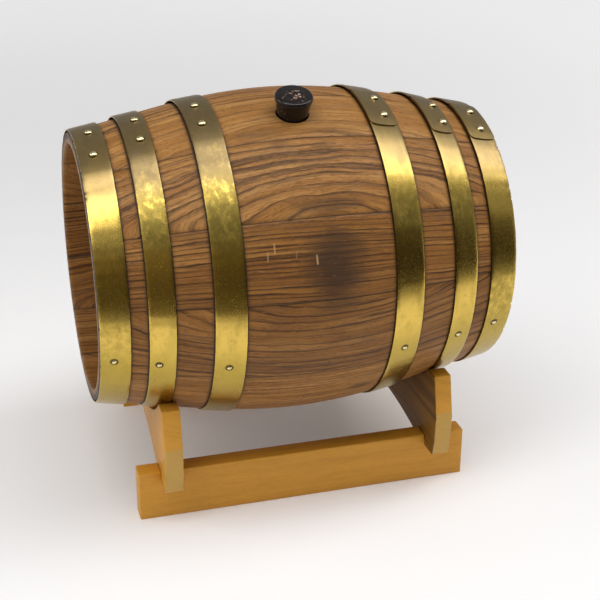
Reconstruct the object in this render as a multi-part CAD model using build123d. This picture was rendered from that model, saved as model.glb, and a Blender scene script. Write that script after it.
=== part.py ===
from build123d import *

import os
from math import asin, cos, sin, sqrt

# Small oak barrel of about ten litres, lying on its own beech stand. Millimetres.
# +X runs along the barrel's axis, -Y is the front and +Z is up. The origin is on the floor,
# under the middle of the barrel. Angles around the barrel start at the front (-Y) and rise
# through the top (90) to the back (180).

# ---- barrel ----
barrel_length = 340.0
axis_height = 198.0
belly_radius = 136.5
quarter_x = 72.0
quarter_radius = 130.2
end_radius = 110.9
stave_thickness = 15.0
chime_bore = 101.0
chime_chamfer = 0.8
curve_points = 15

# How far a cutting shape reaches past the surface it cuts.
cut_past = 6.0

# Widths of the staves in degrees, starting at the upper edge of the bung stave and going
# back over the top. Coopered staves differ in width.
bung_stave_top = 84.6
stave_widths = (28.0, 28.0, 28.0, 28.0, 27.4, 27.5, 27.4, 27.5, 27.4, 29.5, 27.2, 29.0, 25.1)

# ---- heads and the groove that holds them ----
groove_from = 139.2
groove_to = 145.2
groove_depth = 4.8
howel_start = 134.0
howel_step = 0.4
head_inner_face = 136.0
head_outer_face = 149.0
head_radius = 100.6
head_bevel = 3.0
tongue_play = 0.25
head_board_joints = (-53.0, 0.0, 53.0)
dowel_diameter = 6.0
dowel_length = 24.0
dowel_play = 0.05
dowel_hole_extra = 1.0
dowel_offsets = {-53.0: 38.0, 0.0: 48.0, 53.0: 38.0}

# ---- hoops: (edge nearer the head, edge nearer the belly), from the middle ----
hoop_bands = {
    "end": (170.0, 146.7),
    "quarter": (133.2, 112.8),
    "belly": (84.3, 59.9),
}
hoop_thickness = 1.2
hoop_gap = 0.25
joggle_angle = 1.5
strip_end_gap = 0.4

# Lap of each hoop: where the two rivets stand (x and angle), and the two ends of the lap.
# The right hoops end at the front of the lap, the left hoops at its back.
hoop_laps = {
    ("left", "end"): {"rivets": ((-157.0, 85.4), (-158.0, 68.8)), "lap": (61.0, 92.0)},
    ("left", "quarter"): {"rivets": ((-120.2, 85.6), (-121.1, 71.0)), "lap": (63.0, 92.0)},
    ("left", "belly"): {"rivets": ((-72.4, 84.4), (-72.8, 71.5)), "lap": (64.0, 91.0)},
    ("right", "belly"): {"rivets": ((75.3, 80.9), (75.1, 69.4)), "lap": (63.7, 88.0)},
    ("right", "quarter"): {"rivets": ((127.2, 80.7), (126.9, 68.3)), "lap": (62.1, 88.0)},
    ("right", "end"): {"rivets": ((159.8, 78.5), (159.4, 65.9)), "lap": (60.0, 86.0)},
}
rivet_shank = 2.6
rivet_head = 6.4
rivet_dome = 2.0
tail_clearance = 0.1
shank_play = 0.05

# One nail through each hoop at the front, and its partner at the back.
hoop_nails = {
    ("left", "end"): (-159.6, -18.5),
    ("left", "quarter"): (-125.8, -19.7),
    ("left", "belly"): (-72.8, -20.4),
    ("right", "belly"): (71.8, -20.9),
    ("right", "quarter"): (121.9, -22.1),
    ("right", "end"): (155.9, -21.3),
}
nail_back_turn = 178.0
nail_shank = 1.6
nail_head = 3.8
nail_dome = 0.9
nail_depth = 8.0
nail_hole_extra = 0.5

# ---- bung ----
bung_angle = bung_stave_top - stave_widths[-1] / 2
bung_stand_out = 18.0
bung_top_diameter = 30.4
bung_rim_height = 15.0
bung_diameter_at_stave = 24.8
bung_reach = 16.5
bung_rim_round = 2.6
bung_clearance = 0.3

# ---- stand ----
stock = 16.6
rail_front = 84.5
rail_height = 43.5
front_rail_ends = (-142.2, 144.8)
back_rail_ends = (-125.0, 125.0)
rail_back = 131.2
cradle_thickness = 15.0
cradle_middles = {"left": -115.8, "right": 116.3}
arch_rises = {"left": (36.0, 60.0), "right": (33.5, 42.0)}
arch_front = 66.0
arch_back = 96.0
cradle_foot = 33.5
lap_level = 38.5
joint_play = 0.05
saddle_clearance = 0.3
horn_top = 107.0
horn_out = 99.0
# Outer outline of a cradle below its horn, as (distance from the middle, height). The cradles
# reach further out at the back than at the front.
front_outline = ((107.0, 72.0), (105.6, 48.0), (102.5, 34.5))
back_outline = ((121.0, 80.0), (134.0, 54.0), (133.2, 34.5))
foot_corner = 1.0


def on_barrel_curve():
    """Coefficients of the stave's outer curve r = belly - a x^2 + b x^4."""
    end_x = barrel_length / 2
    quarter_drop = belly_radius - quarter_radius
    end_drop = belly_radius - end_radius
    ratio = (end_x / quarter_x) ** 2
    b = (quarter_drop * ratio - end_drop) / (end_x**4 - quarter_x**4 * ratio)
    a = (quarter_drop + b * quarter_x**4) / quarter_x**2
    return a, b


curve_a, curve_b = on_barrel_curve()


def stave_radius(x):
    """Radius of the staves' outer surface at a distance x from the middle."""
    return belly_radius - curve_a * x**2 + curve_b * x**4


def around(shape, angle):
    """Turn a shape drawn at the top of the barrel to an angle, and lift it to the axis."""
    return Pos(0, 0, axis_height) * (Rot(90 - angle, 0, 0) * shape)


def section_spline(half_length, inward):
    """The barrel curve, moved inward, from -half_length to half_length in the XZ plane."""
    last = curve_points - 1
    steps = [half_length * (2 * i / last - 1) for i in range(curve_points)]
    return Spline(*[(x, 0, stave_radius(x) - inward) for x in steps])


def stave_section():
    """Lengthwise section of a stave, with groove, chime and chamfered outer ends."""
    end_x = barrel_length / 2
    outer_x = end_x - chime_chamfer
    outer = section_spline(outer_x, 0)
    inner = section_spline(howel_start, stave_thickness)
    groove_bottom = chime_bore + groove_depth
    edges = [outer, inner]
    for side in (-1, 1):
        corner_points = [
            (side * howel_start, 0, stave_radius(howel_start) - stave_thickness),
            (side * groove_from, 0, chime_bore + howel_step),
            (side * groove_from, 0, groove_bottom),
            (side * groove_to, 0, groove_bottom),
            (side * groove_to, 0, chime_bore),
            (side * outer_x, 0, chime_bore),
            (side * end_x, 0, chime_bore + chime_chamfer),
            (side * end_x, 0, stave_radius(outer_x) - chime_chamfer),
            (side * outer_x, 0, stave_radius(outer_x)),
        ]
        edges += Polyline(*corner_points).edges()
    return make_face(edges)


def wedge(section, top_angle, width):
    """Sweep a section around the barrel's axis, down from top_angle by width degrees."""
    swept = revolve(section, Axis.X, revolution_arc=width)
    return around(swept, top_angle)


def radial_peg(x, angle, radius, inner_radius, outer_radius):
    """A round peg that points out of the barrel at x and angle."""
    length = outer_radius - inner_radius
    peg = Pos(x, 0, inner_radius) * Cylinder(
        radius, length, align=(Align.CENTER, Align.CENTER, Align.MIN)
    )
    return around(peg, angle)


def bung_cone(grow, below, above):
    """The bung's taper at the top of the barrel, grown outward all round."""
    slope = (bung_top_diameter - bung_diameter_at_stave) / 2 / bung_rim_height
    low = bung_diameter_at_stave / 2 - slope * below + grow
    high = bung_diameter_at_stave / 2 + slope * above + grow
    base = belly_radius - below
    cone = Cone(low, high, below + above, align=(Align.CENTER, Align.CENTER, Align.MIN))
    return Pos(0, 0, base) * cone


def nail_places():
    """Every hoop nail as (hoop, x, angle), front and back."""
    places = []
    for hoop, (x, angle) in hoop_nails.items():
        places.append((hoop, x, angle))
        places.append((hoop, x, angle + nail_back_turn))
    return places


def hoop_line(band):
    """Inner radius of a hoop as a straight line over its width: a function of distance."""
    head_x, belly_x = hoop_bands[band]
    head_r = stave_radius(head_x) + hoop_gap
    belly_r = stave_radius(belly_x) + hoop_gap
    slope = (belly_r - head_r) / (belly_x - head_x)
    return lambda x: head_r + slope * (abs(x) - head_x)


def strip_section(side, band, lift, thickness):
    """Cross-section of a hoop's strip at the top of the barrel."""
    head_x, belly_x = hoop_bands[band]
    line = hoop_line(band)
    sign = -1 if side == "left" else 1
    inner = [(sign * x, 0, line(x) + lift) for x in (head_x, belly_x)]
    outer = [(sign * x, 0, line(x) + lift + thickness) for x in (belly_x, head_x)]
    return make_face(Polyline(*inner, *outer, close=True).edges())


def nail_holes(hoop=None, stave_span=None):
    """Cutters for the nail shanks, for one hoop or for the staves within a span."""
    cutters = []
    radius = nail_shank / 2 + shank_play
    for place, x, angle in nail_places():
        surface = stave_radius(x)
        if hoop is not None and place == hoop:
            reach = (surface - cut_past, surface + cut_past)
            cutters.append(radial_peg(x, angle, radius, *reach))
        if stave_span is not None:
            low, high = stave_span
            turn = angle if low <= angle <= high else angle + 360
            if low <= turn <= high:
                reach = (surface - nail_depth - nail_hole_extra, surface + cut_past)
                cutters.append(radial_peg(x, angle, radius, *reach))
    return cutters


def make_staves():
    """The staves, by name. The last one carries the bung hole."""
    section = stave_section()
    staves = {}
    top = bung_stave_top
    for number, width in enumerate(stave_widths, start=1):
        top += width
        stave = wedge(section, top, width)
        cutters = nail_holes(stave_span=(top - width, top))
        staves[f"stave_{number:02d}"] = stave - cutters if cutters else stave
    last = f"stave_{len(stave_widths):02d}"
    cone = bung_cone(bung_clearance, stave_thickness + cut_past, cut_past)
    hole = around(cone, bung_angle)
    staves["bung_stave"] = staves.pop(last) - hole
    return staves


def head_disc(side):
    """A whole head with its bevelled tongue, before it is cut into boards."""
    tongue_radius = chime_bore + groove_depth - tongue_play
    tongue_from = groove_from + tongue_play
    tongue_to = groove_to - tongue_play
    half = [
        (head_inner_face, 0, 0),
        (head_inner_face, 0, head_radius - head_bevel),
        (tongue_from, 0, head_radius),
        (tongue_from, 0, tongue_radius),
        (tongue_to, 0, tongue_radius),
        (tongue_to, 0, head_radius),
        (head_outer_face, 0, head_radius - head_bevel),
        (head_outer_face, 0, 0),
    ]
    points = [(side * x, y, z) for x, y, z in half]
    face = make_face(Polyline(*points, close=True).edges())
    return revolve(face, Axis.X)


def in_dowel_places(side, peg):
    """A peg at every place where a dowel crosses a joint of one head."""
    middle_x = side * (head_inner_face + head_outer_face) / 2
    pegs = []
    for joint, offset in dowel_offsets.items():
        for y in (-offset, offset):
            pegs.append(Pos(middle_x, y, joint) * peg)
    return pegs


def make_heads():
    """Both heads as separate boards, with their dowels."""
    parts = {}
    edges = (-2 * belly_radius, *head_board_joints, 2 * belly_radius)
    dowel = Cylinder(dowel_diameter / 2, dowel_length)
    dowel_hole = Cylinder(dowel_diameter / 2 + dowel_play, dowel_length + dowel_hole_extra)
    for name, side in (("left", -1), ("right", 1)):
        disc = head_disc(side)
        middle_x = side * (head_inner_face + head_outer_face) / 2
        holes = in_dowel_places(side, dowel_hole)
        for number, (low, high) in enumerate(zip(edges, edges[1:]), start=1):
            slab = Box(head_outer_face, 4 * belly_radius, high - low)
            board = disc & (Pos(middle_x, 0, (low + high) / 2) * slab)
            for hole in holes:
                board -= hole
            parts[f"{name}_head_board_{number}"] = around(board, bung_angle)
        dowels = [around(peg, bung_angle) for peg in in_dowel_places(side, dowel)]
        parts[f"{name}_head_dowels"] = Compound(children=dowels)
    return parts


def make_hoop(side, band):
    """One hoop: a riveted strip whose end laps over its own beginning."""
    low, high = hoop_laps[side, band]["lap"]
    ring = strip_section(side, band, 0, hoop_thickness)
    step = strip_section(side, band, 0, 2 * hoop_thickness)
    lap = strip_section(side, band, hoop_thickness, hoop_thickness)
    lap_width = high - low
    ring_width = 360 - joggle_angle - strip_end_gap
    if side == "right":
        # The strip comes over the back, steps up behind the lap and ends in front.
        pieces = [
            wedge(ring, high - strip_end_gap, ring_width),
            wedge(step, high + joggle_angle, joggle_angle),
            wedge(lap, high, lap_width),
        ]
    else:
        # The strip comes up the front, steps up before the lap and ends behind.
        pieces = [
            wedge(ring, low - joggle_angle, ring_width),
            wedge(step, low, joggle_angle),
            wedge(lap, high, lap_width),
        ]
    hoop = pieces[0] + pieces[1] + pieces[2]
    for x, angle in hoop_laps[side, band]["rivets"]:
        surface = stave_radius(x)
        radius = rivet_shank / 2 + shank_play
        hoop -= radial_peg(x, angle, radius, surface - cut_past, surface + cut_past)
    for cutter in nail_holes(hoop=(side, band)):
        hoop -= cutter
    return hoop


def fastener(x, angle, shank, head, dome, tail_radius, seat_radius):
    """A round shank with a low domed head that sits on seat_radius."""
    sphere_radius = ((head / 2) ** 2 + dome**2) / (2 * dome)
    points = [
        (x, 0, tail_radius),
        (x + shank / 2, 0, tail_radius),
        (x + shank / 2, 0, seat_radius),
        (x + head / 2, 0, seat_radius),
    ]
    half_angle = asin(head / 2 / sphere_radius) / 2
    middle = (
        x + sphere_radius * sin(half_angle),
        0,
        seat_radius + dome - sphere_radius * (1 - cos(half_angle)),
    )
    crown = (x, 0, seat_radius + dome)
    outline = Polyline(*points).edges()
    outline += [ThreePointArc(points[-1], middle, crown), Line(crown, points[0])]
    turned = revolve(make_face(outline), Axis((x, 0, 0), (0, 0, 1)))
    return around(turned, angle)


def seat_over(line, x, head):
    """Radius that clears a sloping hoop under a flat-bottomed head."""
    return max(line(x - head / 2), line(x + head / 2))


def make_fasteners():
    """The rivets and nails of each hoop, one group per hoop."""
    parts = {}
    for (side, band), lap in hoop_laps.items():
        line = hoop_line(band)
        rivets = []
        for x, angle in lap["rivets"]:
            seat = seat_over(line, abs(x), rivet_head) + 2 * hoop_thickness
            tail = stave_radius(abs(x) - rivet_shank / 2) + tail_clearance
            rivets.append(fastener(x, angle, rivet_shank, rivet_head, rivet_dome, tail, seat))
        parts[f"{side}_{band}_hoop_rivets"] = Compound(children=rivets)
        nails = []
        for place, x, angle in nail_places():
            if place == (side, band):
                seat = seat_over(line, abs(x), nail_head) + hoop_thickness
                tail = stave_radius(x) - nail_depth
                nails.append(fastener(x, angle, nail_shank, nail_head, nail_dome, tail, seat))
        parts[f"{side}_{band}_hoop_nails"] = Compound(children=nails)
    return parts


def make_bung():
    """Tapered bung with a rounded rim."""
    slope = (bung_top_diameter - bung_diameter_at_stave) / 2 / bung_rim_height
    cone = bung_cone(0, bung_reach, bung_stand_out)
    top_radius = bung_diameter_at_stave / 2 + slope * bung_stand_out
    rim = cone.edges().filter_by(GeomType.CIRCLE).filter_by(
        lambda edge: abs(edge.radius - top_radius) < 0.01
    )
    return around(fillet(rim, bung_rim_round), bung_angle)


def make_rail(front_face, back_face, ends):
    """A floor rail with a shallow housing for each cradle."""
    left, right = ends
    depth = abs(front_face - back_face)
    middle_y = (front_face + back_face) / 2
    rail = Pos((left + right) / 2, middle_y, rail_height / 2) * Box(
        right - left, depth, rail_height
    )
    for x in cradle_middles.values():
        cutter = Pos(x, middle_y, lap_level + rail_height / 2) * Box(
            cradle_thickness + 2 * joint_play, depth + 2 * cut_past, rail_height
        )
        rail -= cutter
    return rail


def cradle_half(outline, rail_face, arch_foot, arch_start):
    """Outline of one half of a cradle, from the saddle's end round the foot to the arch."""
    line = hoop_line("quarter")
    saddle_radius = line(hoop_bands["quarter"][1]) + hoop_thickness + saddle_clearance
    saddle_y = sqrt(saddle_radius**2 - (axis_height - horn_top) ** 2)
    foot_y = outline[-1][0]
    points = [
        (saddle_y, horn_top),
        (horn_out, horn_top),
        *outline,
        (foot_y - foot_corner, cradle_foot),
        (rail_face + joint_play, cradle_foot),
        (rail_face + joint_play, lap_level + joint_play),
        (rail_face - stock - joint_play, lap_level + joint_play),
        (rail_face - stock - joint_play, cradle_foot),
        (arch_foot, cradle_foot),
    ]
    if arch_start > cradle_foot:
        points.append((arch_foot, arch_start))
    return points, axis_height - saddle_radius


def make_cradle(side):
    """A cross board with a hollowed saddle, lapped over both rails."""
    arch_start, arch_top = arch_rises[side]
    front, saddle_bottom = cradle_half(front_outline, rail_front, arch_front, arch_start)
    back, saddle_bottom = cradle_half(back_outline, rail_back, arch_back, arch_start)
    front_points = [(0, -y, z) for y, z in front]
    back_points = [(0, y, z) for y, z in back]
    edges = list(Polyline(*back_points).edges()) + list(Polyline(*front_points).edges())
    arch_middle = (0, (arch_back - arch_front) / 2, arch_top)
    edges.append(ThreePointArc(back_points[-1], arch_middle, front_points[-1]))
    lowest = (0, 0, saddle_bottom)
    edges.append(ThreePointArc(back_points[0], lowest, front_points[0]))
    board = extrude(make_face(edges), cradle_thickness / 2, dir=(1, 0, 0), both=True)
    return Pos(cradle_middles[side], 0, 0) * board


def make_stand():
    """Two floor rails and two cradles."""
    return {
        "front_rail": make_rail(-rail_front, -rail_front + stock, front_rail_ends),
        "back_rail": make_rail(rail_back - stock, rail_back, back_rail_ends),
        "left_cradle": make_cradle("left"),
        "right_cradle": make_cradle("right"),
    }


def write_parts():
    """Build every piece and write one STEP file for each."""
    parts = make_staves()
    parts.update(make_heads())
    for side, band in hoop_laps:
        parts[f"{side}_{band}_hoop"] = make_hoop(side, band)
    parts.update(make_fasteners())
    parts["bung"] = make_bung()
    parts.update(make_stand())
    os.makedirs("parts", exist_ok=True)
    for name, shape in parts.items():
        export_step(shape, f"parts/{name}.step")
    print(len(parts), "nodes")


write_parts()
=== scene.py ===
import math

import bmesh
import bpy
import numpy as np
from mathutils import Matrix, Vector


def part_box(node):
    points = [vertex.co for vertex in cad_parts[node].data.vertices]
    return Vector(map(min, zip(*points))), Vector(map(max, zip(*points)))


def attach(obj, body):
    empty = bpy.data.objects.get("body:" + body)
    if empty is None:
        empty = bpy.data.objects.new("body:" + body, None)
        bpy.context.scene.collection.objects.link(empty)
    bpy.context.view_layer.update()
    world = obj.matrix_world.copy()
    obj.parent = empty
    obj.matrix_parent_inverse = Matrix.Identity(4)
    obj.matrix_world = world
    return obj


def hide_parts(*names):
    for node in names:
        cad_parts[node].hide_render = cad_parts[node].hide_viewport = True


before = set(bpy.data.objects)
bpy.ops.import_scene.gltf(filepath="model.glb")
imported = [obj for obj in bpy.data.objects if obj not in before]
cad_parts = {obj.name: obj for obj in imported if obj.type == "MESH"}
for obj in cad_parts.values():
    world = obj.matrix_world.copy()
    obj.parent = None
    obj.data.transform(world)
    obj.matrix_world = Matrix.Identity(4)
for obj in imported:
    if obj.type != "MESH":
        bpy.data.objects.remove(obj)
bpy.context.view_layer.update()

bl_info = {
    "name": "Oak Keg on a Beech Stand",
    "version": (1, 0, 0),
    "blender": (4, 5, 0),
    "location": "View3D > Sidebar > Keg",
    "description": "Builds a brass-bound oak keg, its bung and its stand around the frame",
    "category": "Object",
}

MM = 0.001
IN_MM = 1000.0

# Widths of the staves in degrees, from the upper edge of the bung stave over the top and back.
BUNG_STAVE_TOP = 84.6
STAVE_WIDTHS = (28.0, 28.0, 28.0, 28.0, 27.4, 27.5, 27.4, 27.5, 27.4, 29.5, 27.2, 29.0, 25.1)
# Where along the barrel the quarter radius is taken.
QUARTER_X = 72.0 * MM
# Ends of the staves: inner radius, then where the groove starts and ends and its depth.
CHIME_BORE = 101.0 * MM
GROOVE = (139.2 * MM, 145.2 * MM, 4.8 * MM)
# The painted shade and dirt beside the hoops fade out towards this radius in mm, short of the
# chimes' inner faces.
HOOP_SHADE_STOP = 104.0
# Width of a head board in mm.
HEAD_BOARD = 53.0
# The cradles' front edge: how far out its bend is, the bend's height, and the slope of the edge
# below and above it.
CRADLE_FRONT = (105.6, 48.0, 0.23, 0.058)
BUNG_ANGLE = math.radians(BUNG_STAVE_TOP - STAVE_WIDTHS[-1] / 2)
BUNG_LEAN = math.pi / 2 - BUNG_ANGLE

# Each hoop: lap start and end in degrees, rivets and front nail as (x in mm, degrees), then how far
# its belly edge and its head edge stand off the staves near the lap, in mm.
HOOPS = {
    "left_end": ((61.0, 92.0), ((-157.0, 85.4), (-158.0, 68.8)), (-159.6, -18.5), 0.3, 0.6),
    "left_quarter": ((63.0, 92.0), ((-120.2, 85.6), (-121.1, 71.0)), (-125.8, -19.7), 0.2, 1.5),
    "left_belly": ((64.0, 91.0), ((-72.4, 84.4), (-72.8, 71.5)), (-72.8, -20.4), 0.2, 1.6),
    "right_belly": ((63.7, 88.0), ((75.3, 80.9), (75.1, 69.4)), (71.8, -20.9), 1.3, 0.2),
    "right_quarter": ((62.1, 88.0), ((127.2, 80.7), (126.9, 68.3)), (121.9, -22.1), 1.5, 0.2),
    "right_end": ((60.0, 86.0), ((159.8, 78.5), (159.4, 65.9)), (155.9, -21.3), 1.3, 0.4),
}
# Olive stain on each hoop: middle angle and half-width in radians, and how strong it is.
MOTTLES = {
    "left_end": (0.15, 0.45, 0.3), "left_quarter": (0.80, 0.30, 0.9),
    "left_belly": (0.92, 0.44, 1.0), "right_belly": (0.55, 0.16, 0.5),
    "right_quarter": (0.55, 0.2, 0.5), "right_end": (-0.1, 0.3, 0.4),
}
# Head edge and belly edge of each kind of hoop, in mm from the barrel's middle.
BANDS = {"end": (170.0, 146.7), "quarter": (133.2, 112.8), "belly": (84.3, 59.9)}
# A hoop's lift is whole up to the first of these and gone from the second, measured as the sine
# of half the angle from the middle of its lap.
LIFT_REACH = (0.12, 0.62)
# Gap between the staves and a hoop, and how far rivets and nails sit off their strip.
HOOP_GAP = 0.25 * MM
STUD_LIFT = 0.45 * MM
# Over how many degrees a strip steps down past its lap, on the left (-1) and the right (1).
JOGGLES = {-1.0: 9.0, 1.0: 2.2}
# How deep the head edge is nicked, on the end hoops and on the others.
END_NICKS, NICKS = 1.1 * MM, 0.3 * MM
# The second nail of a hoop is this many degrees round from the first.
BACK_TURN = 178.0
# Bung: radius at the staves' surface, how much it widens with height, and the radius and height
# of its hole's foot and top.
BUNG_RADIUS = 12.4 * MM
BUNG_FLARE = (15.2 - 12.4) / 15.0
BUNG_HOLE = ((10.7 * MM, -30.0 * MM), (14.7 * MM, 12.0 * MM))


def union_box(names):
    """Lowest and highest corner of several frame nodes."""
    boxes = [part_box(name) for name in names]
    low = [min(box[0][i] for box in boxes) for i in range(3)]
    high = [max(box[1][i] for box in boxes) for i in range(3)]
    return Vector(low), Vector(high)


STAVE_NAMES = [f"stave_{n:02d}" for n in range(1, 13)] + ["bung_stave"]
STAVES_LOW, STAVES_HIGH = union_box(STAVE_NAMES)
AXIS_HEIGHT = round((STAVES_LOW.z + STAVES_HIGH.z) / 2, 4)


# ---- reckoning in node trees ----


def reckoning(operation, swapped=False):
    """A method of Wire that adds a math node for one operation."""
    def method(self, other):
        return self.shop.math(operation, *((other, self) if swapped else (self, other)))
    return method


class Wire:
    """A number in a node tree that can be reckoned with as a plain number is."""

    def __init__(self, shop, socket):
        self.shop = shop
        self.socket = socket

    __add__ = __radd__ = reckoning("ADD")
    __sub__ = reckoning("SUBTRACT")
    __rsub__ = reckoning("SUBTRACT", swapped=True)
    __mul__ = __rmul__ = reckoning("MULTIPLY")
    __truediv__ = reckoning("DIVIDE")
    __pow__ = reckoning("POWER")

    def do(self, operation, *others):
        """Any other operation, such as COSINE or MAXIMUM."""
        return self.shop.math(operation, self, *others)

    def step(self, low, high, from_value=0.0, to_value=1.0):
        """Smooth change from from_value at low to to_value at high."""
        node = self.shop.add(
            "ShaderNodeMapRange", interpolation_type="SMOOTHSTEP",
            ins={"Value": self, "From Min": low, "From Max": high,
                 "To Min": from_value, "To Max": to_value},
        )
        return Wire(self.shop, node.outputs["Result"])


class Shop:
    """Adds nodes to one tree and wires what they are given."""

    def __init__(self, tree):
        self.tree = tree

    def add(self, kind, ins=(), **settings):
        """A new node with its inputs, by name or in order, and its settings."""
        node = self.tree.nodes.new(kind)
        for key, value in settings.items():
            setattr(node, key, value)
        pairs = ins.items() if isinstance(ins, dict) else enumerate(ins)
        for key, value in pairs:
            self.put(value, node.inputs[key])
        return node

    def put(self, value, socket):
        """Link a wire or socket to an input, or set it to a plain value."""
        if isinstance(value, Wire):
            value = value.socket
        if isinstance(value, bpy.types.NodeSocket):
            self.tree.links.new(value, socket)
        elif value is not None:
            socket.default_value = value

    def math(self, operation, *values):
        node = self.add("ShaderNodeMath", values, operation=operation)
        return Wire(self, node.outputs[0])

    def split(self, vector):
        node = self.add("ShaderNodeSeparateXYZ", [vector])
        return [Wire(self, node.outputs[i]) for i in range(3)]

    def join(self, x, y, z):
        return self.add("ShaderNodeCombineXYZ", [x, y, z]).outputs[0]

    def noise(self, vector, scale=1.0, detail=2.0, roughness=0.5):
        node = self.add("ShaderNodeTexNoise", {
            "Vector": vector, "Scale": scale, "Detail": detail, "Roughness": roughness})
        return Wire(self, node.outputs[0])

    def field(self, x, y, z, detail=2.0, roughness=0.5):
        """Noise at a place whose three parts are given apart."""
        return self.noise(self.join(x, y, z), detail=detail, roughness=roughness)

    def mix(self, share, first, second):
        node = self.add("ShaderNodeMix", data_type="RGBA")
        self.put(share, node.inputs[0])
        self.put(first, node.inputs[6])
        self.put(second, node.inputs[7])
        return node.outputs[2]

    def coats(self, base, *layers):
        """Colours laid over a base one after the other, each with its share."""
        for share, colour in layers:
            base = self.mix(share, base, colour)
        return base

    def ramp(self, value, stops):
        node = self.add("ShaderNodeValToRGB", [value])
        elements = node.color_ramp.elements
        while len(elements) < len(stops):
            elements.new(0.5)
        for element, (position, colour) in zip(elements, stops):
            element.position = position
            element.color = colour
        return node.outputs[0]

    def bump(self, height, distance):
        ins = {"Height": height, "Distance": distance, "Strength": 1.0}
        return self.add("ShaderNodeBump", ins).outputs[0]


def hypot(first, second):
    """Distance from two wires that hold its parts."""
    return (first ** 2.0 + second ** 2.0) ** 0.5


def colour(red, green, blue):
    return (red, green, blue, 1.0)


def surface_material(name):
    """A new material, with its shop and its principled shader."""
    material = bpy.data.materials.new(name)
    material.use_nodes = True
    shop = Shop(material.node_tree)
    return material, shop, material.node_tree.nodes["Principled BSDF"]


def set_constants(shader, constants):
    """Set the inputs that are the same all over a surface."""
    for label, value in constants.items():
        shader.inputs[label].default_value = value


def finish_surface(shop, shader, base, roughness, relief, depth, constants):
    """Wire a surface's colour, roughness and relief, and set its plain constants."""
    shop.put(base, shader.inputs["Base Color"])
    shop.put(roughness, shader.inputs["Roughness"])
    shop.put(shop.bump(relief, depth), shader.inputs["Normal"])
    set_constants(shader, constants)


def own_place(shop):
    """Where a point lies on its own object, in metres."""
    return shop.add("ShaderNodeTexCoord").outputs["Object"]


def strip_parts(shop):
    """The three parts of the place that a node tree stored on its piece."""
    node = shop.add("ShaderNodeAttribute", attribute_name="place", attribute_type="GEOMETRY")
    return shop.split(node.outputs["Vector"])


def strip_place(shop):
    """Where a point lies on its strip or stave: (along the barrel, around it, height) in mm."""
    return [part * IN_MM for part in strip_parts(shop)]


# ---- materials ----

# Figure of each stave: the rings' middle as (x, v) in mm, how much they are stretched along the
# stave, line spacing in mm, wobble in mm, warmth, smokiness, line strength and seed.
FIGURES = {
    "bung_stave": ((8.0, -52.0), 0.30, 11.0, 3.0, 0.67, 0.30, 0.45, 3.1),
    "stave_12": ((10.0, -38.0), 0.30, 7.6, 2.6, 0.60, 0.35, 0.80, 7.7),
    "stave_11": ((-60.0, -420.0), 0.35, 4.1, 1.2, 0.46, 0.45, 0.95, 12.4),
    "stave_10": ((16.0, 46.0), 0.26, 6.2, 2.2, 0.44, 0.40, 0.85, 20.9),
    "stave_09": ((30.0, 300.0), 0.30, 3.9, 1.2, 0.56, 0.35, 0.60, 27.3),
    "stave_01": ((-40.0, -44.0), 0.26, 6.5, 2.6, 0.62, 0.35, 0.75, 33.8),
    "stave_02": ((10.0, 340.0), 0.30, 4.4, 1.6, 0.50, 0.40, 0.85, 39.2),
    "stave_03": ((35.0, -40.0), 0.30, 6.8, 2.6, 0.56, 0.40, 0.80, 45.6),
    "stave_04": ((0.0, 380.0), 0.32, 4.2, 1.4, 0.46, 0.50, 0.90, 51.9),
    "stave_05": ((-25.0, 42.0), 0.26, 6.0, 2.4, 0.52, 0.40, 0.80, 58.3),
    "stave_06": ((20.0, -320.0), 0.30, 4.2, 1.4, 0.48, 0.45, 0.80, 63.1),
    "stave_07": ((10.0, -46.0), 0.28, 6.4, 2.4, 0.52, 0.40, 0.80, 70.4),
    "stave_08": ((-20.0, 360.0), 0.30, 4.3, 1.4, 0.48, 0.45, 0.80, 77.7),
}

# Smoky marks on the staves that have them: (x, v, reach along, reach across) in mm, then how
# strong it is.
SMOKE_MARKS = {
    "bung_stave": ((0.0, 6.0, 30.0, 24.0, 0.45), (-34.0, -20.0, 34.0, 7.0, 0.45),
                   (30.0, -24.0, 26.0, 6.0, 0.4)),
    "stave_12": ((8.0, -26.0, 40.0, 10.0, 0.75), (16.0, 25.0, 17.0, 10.0, 0.5),
                 (-20.0, 30.0, 12.0, 7.0, 0.5)),
    "stave_11": ((11.0, -9.0, 36.0, 46.0, 1.15), (-20.0, 27.0, 80.0, 5.0, 0.3)),
    "stave_10": ((13.0, 33.0, 32.0, 15.0, 0.8), (-60.0, -20.0, 50.0, 14.0, 0.45),
                 (-10.0, -24.0, 130.0, 11.0, 0.28)),
    "stave_09": ((42.0, -3.0, 15.0, 9.0, 0.8),),
    "stave_02": ((-36.0, 4.0, 26.0, 20.0, 0.6),),
    "stave_05": ((48.0, -8.0, 24.0, 14.0, 0.6),),
}

# Pale scratches across the grain, on the staves where each is placed: (x, v, half length)
# in mm, then how strong it is.
SCRATCHES = {
    "stave_10": (), "stave_12": (),
    "stave_11": ((-37.0, 11.7, 5.2, 0.60), (-42.7, 6.0, 4.4, 0.45), (-20.7, 5.7, 3.6, 0.22),
                 (-4.9, 0.5, 4.6, 0.85)),
}


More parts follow.
